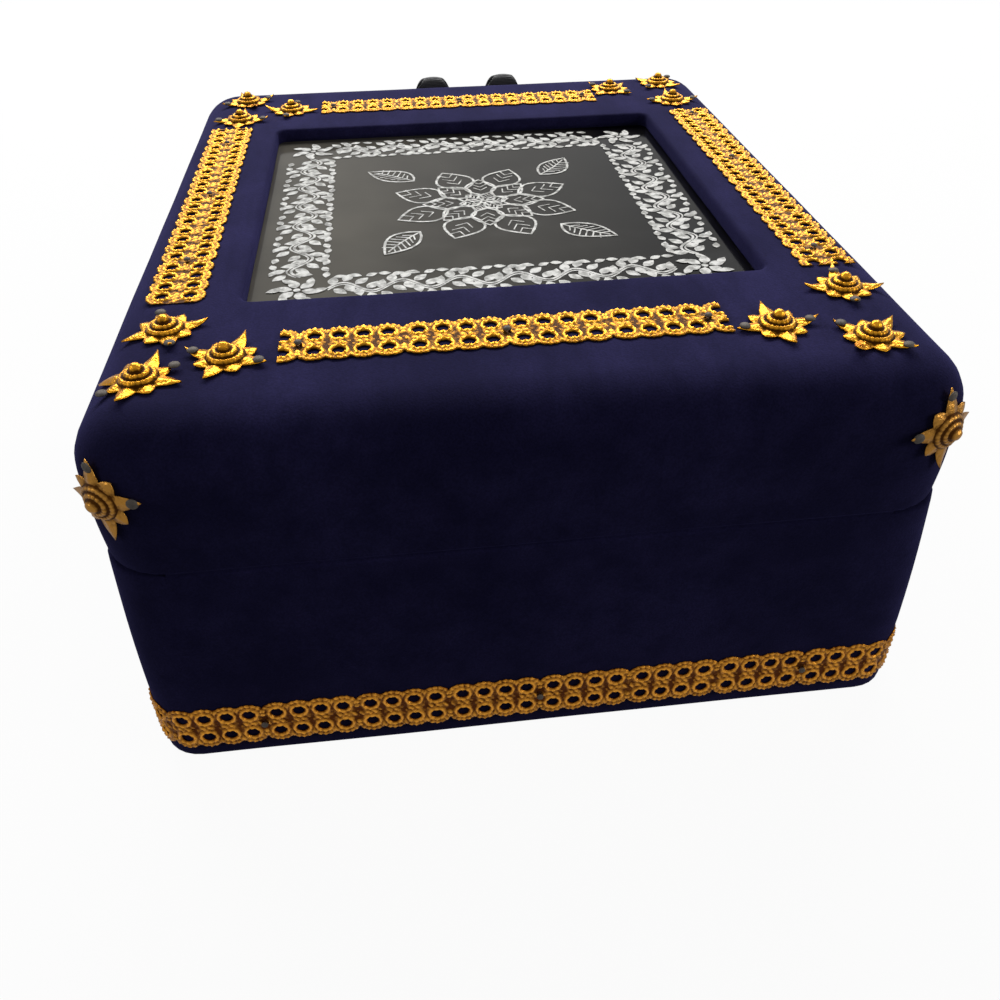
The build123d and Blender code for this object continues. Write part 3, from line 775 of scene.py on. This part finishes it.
def half_strip(x, middle):
    """Half the strip's width at x, in the scallop of the column with this middle."""
    off = x - middle
    lobe = sqrt((strip_width / 2 - row_gap / 2) ** 2 - 0.9 * off**2)
    return row_gap / 2 + lobe - 0.15 * (1 - cos(2 * pi * off / 1.43))


def stamped_height(x, y, middle):
    """Height of the stamped sheet at a point of the column with this middle."""
    dx, dy = x - middle, abs(y) - row_gap / 2
    reach, angle = hypot(dx, dy), atan2(dy, dx) - pi / 2
    rise = 0.14 + 0.75 * (0.78 + 0.22 * cos(8 * angle)) * exp(-(((reach - bead_ring) / 0.36) ** 2))
    if dy > -0.6:
        rise += 0.62 * (0.62 + 0.38 * cos(15 * angle)) * exp(-(((reach - edge_ring) / 0.42) ** 2))
    twist = 0.5 + 0.5 * cos(2 * pi * (x * 13 / period + y / 2.4))
    rise += 0.6 * twist * exp(-((y / 0.8) ** 2))
    for border in column_borders:
        rise -= 0.8 * exp(-((x - border) ** 2 + y**2) / 0.3)
    return min(max(rise, 0.02), 1.0)


def strip_unit():
    """Four columns of the strip, flat on its back and open only where the next unit joins."""
    points, faces = [], []
    for middle, left, right in zip(column_middles, column_borders, column_borders[1:]):
        for half in (1, -1):
            reach_left, reach_right = half_strip(left, middle), half_strip(right, middle)
            border = [(left + (right - left) * i / 8, 0.0) for i in range(8)]
            border += [(right, reach_right * i / 7) for i in range(7)]
            edge_start = len(border)
            for i in range(13):
                x = right + (left - right) * i / 12
                border.append((x, half_strip(x, middle)))
            edge_end = len(border) - 1
            border += [(left, reach_left * (1 - i / 7)) for i in range(1, 7)]
            rows = [[] for _ in range(9)]
            for x, y in border:
                dx, dy = x - middle, y - row_gap / 2
                size = hypot(dx, dy)
                reaches = [hole_radius, hole_radius, hole_lip, bead_ring, bead_foot]
                reaches += [bead_foot + (size - bead_foot) * share for share in (0.36, 0.7, 1.0, 1.0)]
                for row, reach in zip(rows, reaches):
                    at_x, at_y = middle + dx / size * reach, half * (row_gap / 2 + dy / size * reach)
                    flat = row is rows[0] or row is rows[-1]
                    row.append((at_x, at_y, 0.0 if flat else stamped_height(at_x, at_y, middle)))
            count, first = len(border), len(points)
            points += [p for row in rows for p in row]
            for step in range(count):
                after = (step + 1) % count
                for row in range(len(rows)):
                    # the outer wall stands only at the scalloped edge: the rest joins a neighbour
                    if row != len(rows) - 2 or edge_start <= step < edge_end:
                        a, b = first + row * count, first + (row + 1) % len(rows) * count
                        faces.append((a + step, a + after, b + after, b + step))
    return mesh_piece("strip_unit", points, faces)


stamped_unit = strip_unit()


def strip(name, length, shift, lay, finish):
    """A strip of a length: units placed by the tree, cut off at both ends, then laid by a rule."""
    reach = int(length / period) + 2
    places = [shift + step * period for step in range(-reach, reach + 1)]
    spots = [(x, 0, 0, (0, 0, 0)) for x in places if abs(x) < (length + period) / 2]
    made = placed(name, stamped_unit, spots, finish)
    data = made.data
    cut = bmesh.new()
    cut.from_mesh(data)
    bmesh.ops.remove_doubles(cut, verts=cut.verts, dist=0.01 * mm)
    for end in (-1, 1):
        everything = cut.verts[:] + cut.edges[:] + cut.faces[:]
        where, out = (end * length / 2 * mm, 0, 0), (end, 0, 0)
        bmesh.ops.bisect_plane(cut, geom=everything, plane_co=where, plane_no=out, clear_outer=True)
        bmesh.ops.holes_fill(cut, edges=[edge for edge in cut.edges if edge.is_boundary])
    bmesh.ops.recalc_face_normals(cut, faces=cut.faces)
    cut.to_mesh(data)
    cut.free()
    # the stored height lets the finish paint the hollows dark: tarnish and painted shade
    shares = data.attributes.new("relief", "FLOAT", "POINT")
    shares.data.foreach_set("value", [min(vertex.co.z / mm / 0.8, 1) for vertex in data.vertices])
    for vertex in data.vertices:
        vertex.co = Vector(lay(*(vertex.co / mm))) * mm
    data.shade_smooth()
    return made


def flat_along(centre, bottom, side):
    """Lays a strip flat on the lid, along the side that it belongs to."""
    if side in ("back", "front"):
        return lambda x, y, z: (centre.x + x, centre.y + y, bottom + z)
    return lambda x, y, z: (centre.x - y, centre.y + x, bottom + z)


for side, shift in (("left", -8.3), ("right", 2.3), ("back", period / 2), ("front", period / 2)):
    low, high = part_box("top_trim_" + side)
    size, lay = (high - low) / mm, flat_along((high + low) / 2 / mm, low.z / mm, side)
    made = strip("top_strip_" + side, max(size.x, size.y), shift, lay, brass)
    fit(made, "lid", "top_trim_" + side)

foot_low, foot_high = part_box("base_trim_back")
side_low, side_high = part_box("base_trim_left")
foot_middle = (foot_low.z + foot_high.z) / 2 / mm
flat_run, side_run = 2 * (half_x - base_corner), (side_high.y - side_low.y) / mm
bent_run = flat_run + 2 * (pi / 2 * base_corner)


def round_end(end):
    """Lays a strip along one end of the foot and round both its corners."""

    def lay(x, y, z):
        side = 1 if x > 0 else -1
        angle = max(abs(x) - flat_run / 2, 0) / base_corner
        reach = base_corner + z
        px = side * (min(abs(x), flat_run / 2) + reach * sin(angle))
        py = -half_y + base_corner - reach * cos(angle)
        return (px * end, py * end, foot_middle + y)

    return lay


def along_side(way):
    """Lays a strip along one side of the foot."""
    return lambda x, y, z: (way * (half_x + z), way * x, foot_middle + y)


for side, length, shift, lay in (
    ("back", bent_run, period / 2, round_end(1)),
    ("front", bent_run, period / 2, round_end(-1)),
    ("left", side_run, 0.0, along_side(-1)),
    ("right", side_run, 0.0, along_side(1)),
):
    made = strip("foot_strip_" + side, length, shift, lay, dull_brass)
    fit(made, "base", "base_trim_" + side)
bpy.data.objects.remove(stamped_unit)


# Stars: brass stampings with four long and four short creased leaf points, two ribbed
# rings and a round boss. Twelve lie on the lid's corners and one is bent round each
# upright corner.
star_long, star_short, star_valley, plate_edge, plate_thick = 10.2, 7.4, 5.4, 4.45, 0.4
star_steps, tip_half = 96, radians(22.5)
# radius, height and brightness of the stepped middle, from the boss outwards; the brightness
# is painted light: highlight on the boss and crests, shade in the grooves
boss_profile = (
    (0.0, 4.3, 1.0), (0.6, 4.2, 1.0), (1.1, 3.9, 0.8), (1.45, 3.3, 0.35), (1.6, 2.8, 0.1),
    (1.8, 2.5, 0.0), (2.05, 2.65, 0.6), (2.45, 2.7, 1.0), (2.8, 2.35, 0.6), (3.0, 1.9, 0.0),
    (3.2, 1.65, 0.0), (3.5, 1.85, 0.6), (3.9, 1.85, 1.0), (4.25, 1.4, 0.5), (4.45, 0.85, 0.0),
)


def star_outline(angle):
    """How far the plate reaches at an angle, and how near that is to a point's middle line."""
    tip = round(angle / (2 * tip_half))
    off = abs(angle - tip * 2 * tip_half)
    length = star_short if tip % 2 else star_long
    vx, vy = star_valley * cos(tip_half), star_valley * sin(tip_half)
    reach = length * vy / (cos(off) * vy + sin(off) * (length - vx))
    share = 1 - off / tip_half
    return reach * (1 + 0.07 * sin(pi * share)), share


def star_loops(turn, curls):
    """The star's loops from the boss outwards, each point as u, v, height and painted brightness."""
    angles = [2 * pi * step / star_steps for step in range(star_steps)]
    loops = []
    for radius, height, bright in boss_profile[1:]:
        ribs = 24 if radius > 2.8 else 16
        depth = 0.09 if radius > 1.9 else 0.0
        loop = []
        for angle in angles:
            rib = 0.5 + 0.5 * cos(ribs * angle)
            # painted shade in the grooves between the ribs
            painted_rib_shine = bright * (0.6 + 0.4 * rib) if depth else bright
            loop.append((radius, angle, height - depth * (1 - rib), painted_rib_shine))
        loops.append(loop)
    for out in (0.1, 0.3, 0.5, 0.75, 1.0):
        loop = []
        for angle in angles:
            reach, share = star_outline(angle)
            curl = curls[round(angle / (2 * tip_half)) % 8]
            radius = plate_edge + (reach - plate_edge) * out
            vein = 0.5 + 0.5 * cos(2 * pi * radius / 1.1)
            rise = 0.35 + 0.75 * share * (1 - 0.6 * out) + 0.12 * vein * (1 - share)
            rise += curl * max(radius - star_valley, 0) ** 2 / 12 * share
            # painted light: brighter along each point's middle crease and on the raised veins, painted shade
            # towards the valleys between the points
            bright = 0.1 + 0.8 * share if out < 0.2 else 0.35 + 0.5 * share + 0.3 * vein * (1 - share)
            loop.append((radius, angle, rise, bright))
        loops.append(loop)
    loops.append([(r, a, max(z - plate_thick, 0.0), b) for r, a, z, b in loops[-1]])
    return [[(r * cos(a + turn), r * sin(a + turn), z, b) for r, a, z, b in loop] for loop in loops]


def star(node, spot, turn, seed, finish):
    """Builds one star over the surface that spot describes, in place of its CAD node."""
    loops = star_loops(turn, np.random.default_rng(seed).uniform(0.0, 0.9, 8))
    points = [spot(u, v, z) for loop in loops for u, v, z, bright in loop]
    shares = [bright for loop in loops for u, v, z, bright in loop]
    boss, foot, last = len(points), len(points) + 1, len(points) - star_steps
    points += [spot(0, 0, boss_profile[0][1]), spot(0, 0, 0.0)]
    shares += [1.0, 0.0]
    faces = skin(len(loops), star_steps)
    for step in range(star_steps):
        after = (step + 1) % star_steps
        faces += [(boss, after, step), (foot, last + step, last + after)]
    made = mesh_piece("gilt_" + node, points, faces)
    # the painted brightness is stored as the relief that the finish colours by: painted shade and highlight
    made.data.attributes.new("relief", "FLOAT", "POINT").data.foreach_set("value", shares)
    fit(made, "lid", node, finish)


def on_top(centre_x, centre_y):
    """Follows the lid's flat top and the start of its roll."""

    def spot(u, v, z):
        x, y = centre_x + u, centre_y + v
        over = min(hypot(max(abs(x) - half_x + roll, 0), max(abs(y) - half_y + roll, 0)), roll)
        return (x, y, top_z - roll + sqrt(roll**2 - over**2) + z)

    return spot


# how far each is turned: inner, middle and outer
star_turns = {
    "back_left": (16, -22, -17),
    "back_right": (-4, 5, 43),
    "front_left": (-5, -12, 20),
    "front_right": (3, 45, 48),
}
seed = 0
for corner, turns in star_turns.items():
    for row, degrees in zip(("inner", "middle", "outer"), turns):
        node = f"star_{corner}_{row}"
        low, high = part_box(node)
        centre = (low + high) / 2 / mm
        seed += 1
        star(node, on_top(centre.x, centre.y), radians(degrees), seed, brass)


def round_corner(side, end, degrees, drop):
    """Follows an upright corner of the lid and the start of the roll over it."""
    start = radians(degrees) * lid_corner

    def spot(u, v, z):
        run = start + side * u
        height = top_z - drop + v
        over = min(max(height - (top_z - roll), 0), roll)
        radius = lid_corner - (roll - sqrt(roll**2 - over**2)) + 0.25 + 0.75 * z
        angle = max(run, 0) / lid_corner
        x = side * (half_x - lid_corner + radius * sin(angle) + min(run, 0))
        y = -half_y + lid_corner - radius * cos(angle)
        return (x * end, y * end, height)

    return spot


# seen from behind, the left one lies further round and a little turned
left_corner_star, right_corner_star = (34, 16.8, 8), (26, 15.0, 0)
lid_corners = (("back_left", -1, 1), ("back_right", 1, 1), ("front_left", 1, -1), ("front_right", -1, -1))
for corner, side, end in lid_corners:
    degrees, drop, tilt = left_corner_star if side < 0 else right_corner_star
    seed += 1
    spot = round_corner(side, end, degrees, drop)
    # the corner stars take the darker copy of the brass, painted shade
    star("star_corner_" + corner, spot, radians(90 + tilt), seed, shade_painted_corner_brass)


# Nails: round-headed steel nails through the stars' points and pins through the strips,
# a little domed, and dull grey with stains of about 1 mm. Each stands on the CAD nail's
# own place and axis.
steel, tree, shader, place = material("dull grey steel")
stain = add(tree, "ShaderNodeTexNoise", {0: place, "Scale": 1 / (1.1 * mm), "Detail": 4})
tones = add(tree, "ShaderNodeMix", {0: stain, 6: "#393430", 7: "#7C746C"}, data_type="RGBA")
give(tree, shader, {"Base Color": tones.outputs[2], "Metallic": 0.5, "Roughness": 0.65})


def nail_places(node):
    """Where the head of each nail in a CAD node ends, and which way it faces."""
    loose = bmesh.new()
    loose.from_mesh(nodes[node].data)
    bmesh.ops.remove_doubles(loose, verts=loose.verts, dist=0.001 * mm)
    left, found = set(loose.verts), []
    while left:
        nail = [left.pop()]
        for vertex in nail:
            joined = {end for link in vertex.link_edges for end in link.verts} & left
            left -= joined
            nail += joined
        points = np.array([vertex.co for vertex in nail])
        tail = points[np.argmax(np.linalg.norm(points - points.mean(0), axis=1))]
        far = np.linalg.norm(points - tail, axis=1)
        shank, head = points[far < 1.2 * mm], points[far > far.max() - 1.6 * mm]
        axis = Vector(head.mean(0) - shank.mean(0)).normalized()
        top = max(float(Vector(p) @ axis) for p in points)
        base = Vector(shank.mean(0))
        found.append((base + axis * (top - base @ axis), axis))
    loose.free()
    return sorted(found, key=lambda item: tuple(round(value, 5) for value in item[0]))


def nail_unit(radius, height):
    """A domed nail head, its crown just above its own origin."""
    profile = [(radius * 0.55, -height * 1.1), (radius * 0.95, -height), (radius, -height * 0.75)]
    profile += [(radius * cos(angle), height * (sin(angle) - 0.75)) for angle in (0.25, 0.6, 0.95, 1.25)]
    unit = lofted("nail_unit", [[(x, y, z) for x, y in circle(reach, 14)] for reach, z in profile])
    mend(unit.data, close=True)
    return unit


for node, name, body, radius in (
    ("star_nails", "star_nail_heads", "lid", 1.35),
    ("top_trim_nails", "strip_pins", "lid", 0.95),
    ("base_trim_nails", "foot_pins", "base", 0.95),
    ("loop_tacks", "ribbon_tacks", "lid", 0.95),
):
    unit = nail_unit(radius, 0.6)
    spots = []
    for crown, axis in nail_places(node):
        spots.append((*(crown / mm), tuple(axis.to_track_quat("Z", "Y").to_euler())))
    heads = placed(name, unit, spots, steel)
    bpy.data.objects.remove(unit)
    heads.data.shade_smooth()
    fit(heads, body, node)


# Pull loops: two short lengths of dark ribbed ribbon, folded over into upright loops and
# tacked to the lid's front, to lift it by. The ribbon is near black and matt; its ribs are
# 0.4 mm apart and are drawn at 0.9 mm, to show at all.
ribbon, tree, shader, place = material("dark ribbed ribbon")
ribbing = {0: place, "Scale": 0.5 / (0.9 * mm), "Distortion": 0.3}
rib = add(tree, "ShaderNodeTexWave", ribbing, bands_direction="Z")
dust = add(tree, "ShaderNodeTexNoise", {0: place, "Scale": 1 / (3 * mm), "Detail": 4})
share = add(tree, "ShaderNodeMath", {0: rib.outputs[1], 1: dust}, operation="MULTIPLY")
tones = add(tree, "ShaderNodeMix", {0: share, 6: "#131315", 7: "#38373D"}, data_type="RGBA")
relief = add(tree, "ShaderNodeBump", {"Height": rib.outputs[1], "Strength": 0.5, "Distance": 0.2 * mm})
give(tree, shader, {"Base Color": tones.outputs[2], "Normal": relief, "Roughness": 0.7, "Sheen Weight": 0.2})

ribbon_thickness, shoulder, ribbon_steps = 1.0, 7.2, 12
for side in ("left", "right"):
    low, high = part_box("pull_loop_" + side)
    size, centre = (high - low) / mm, (high + low) / 2 / mm
    arc, straight = (size.y - ribbon_thickness) / 2, size.z - size.y
    path = [(-arc, -straight / 2 + straight * step / 9) for step in range(10)]
    path += [(-y, straight / 2 + z) for y, z in circle(arc, 20)[1:10]]
    path += [(-y, -z) for y, z in path]
    points = []
    for y, z in path:
        fall = max(z - (size.z / 2 - shoulder), 0) / shoulder
        half = size.x / 2 * sqrt(1 - 0.9 * fall**2)
        for step in range(ribbon_steps + 1):
            across = 2 * step / ribbon_steps - 1
            points.append((centre.x + half * across, centre.y + y, centre.z + z - 0.5 * fall * across**2))
    faces = skin(len(path), ribbon_steps + 1, closed=True, around=False)
    piece = mesh_piece("ribbon_loop_" + side, points, faces)
    thicken(piece, ribbon_thickness, offset=0)
    fit(piece, "lid", "pull_loop_" + side, ribbon)
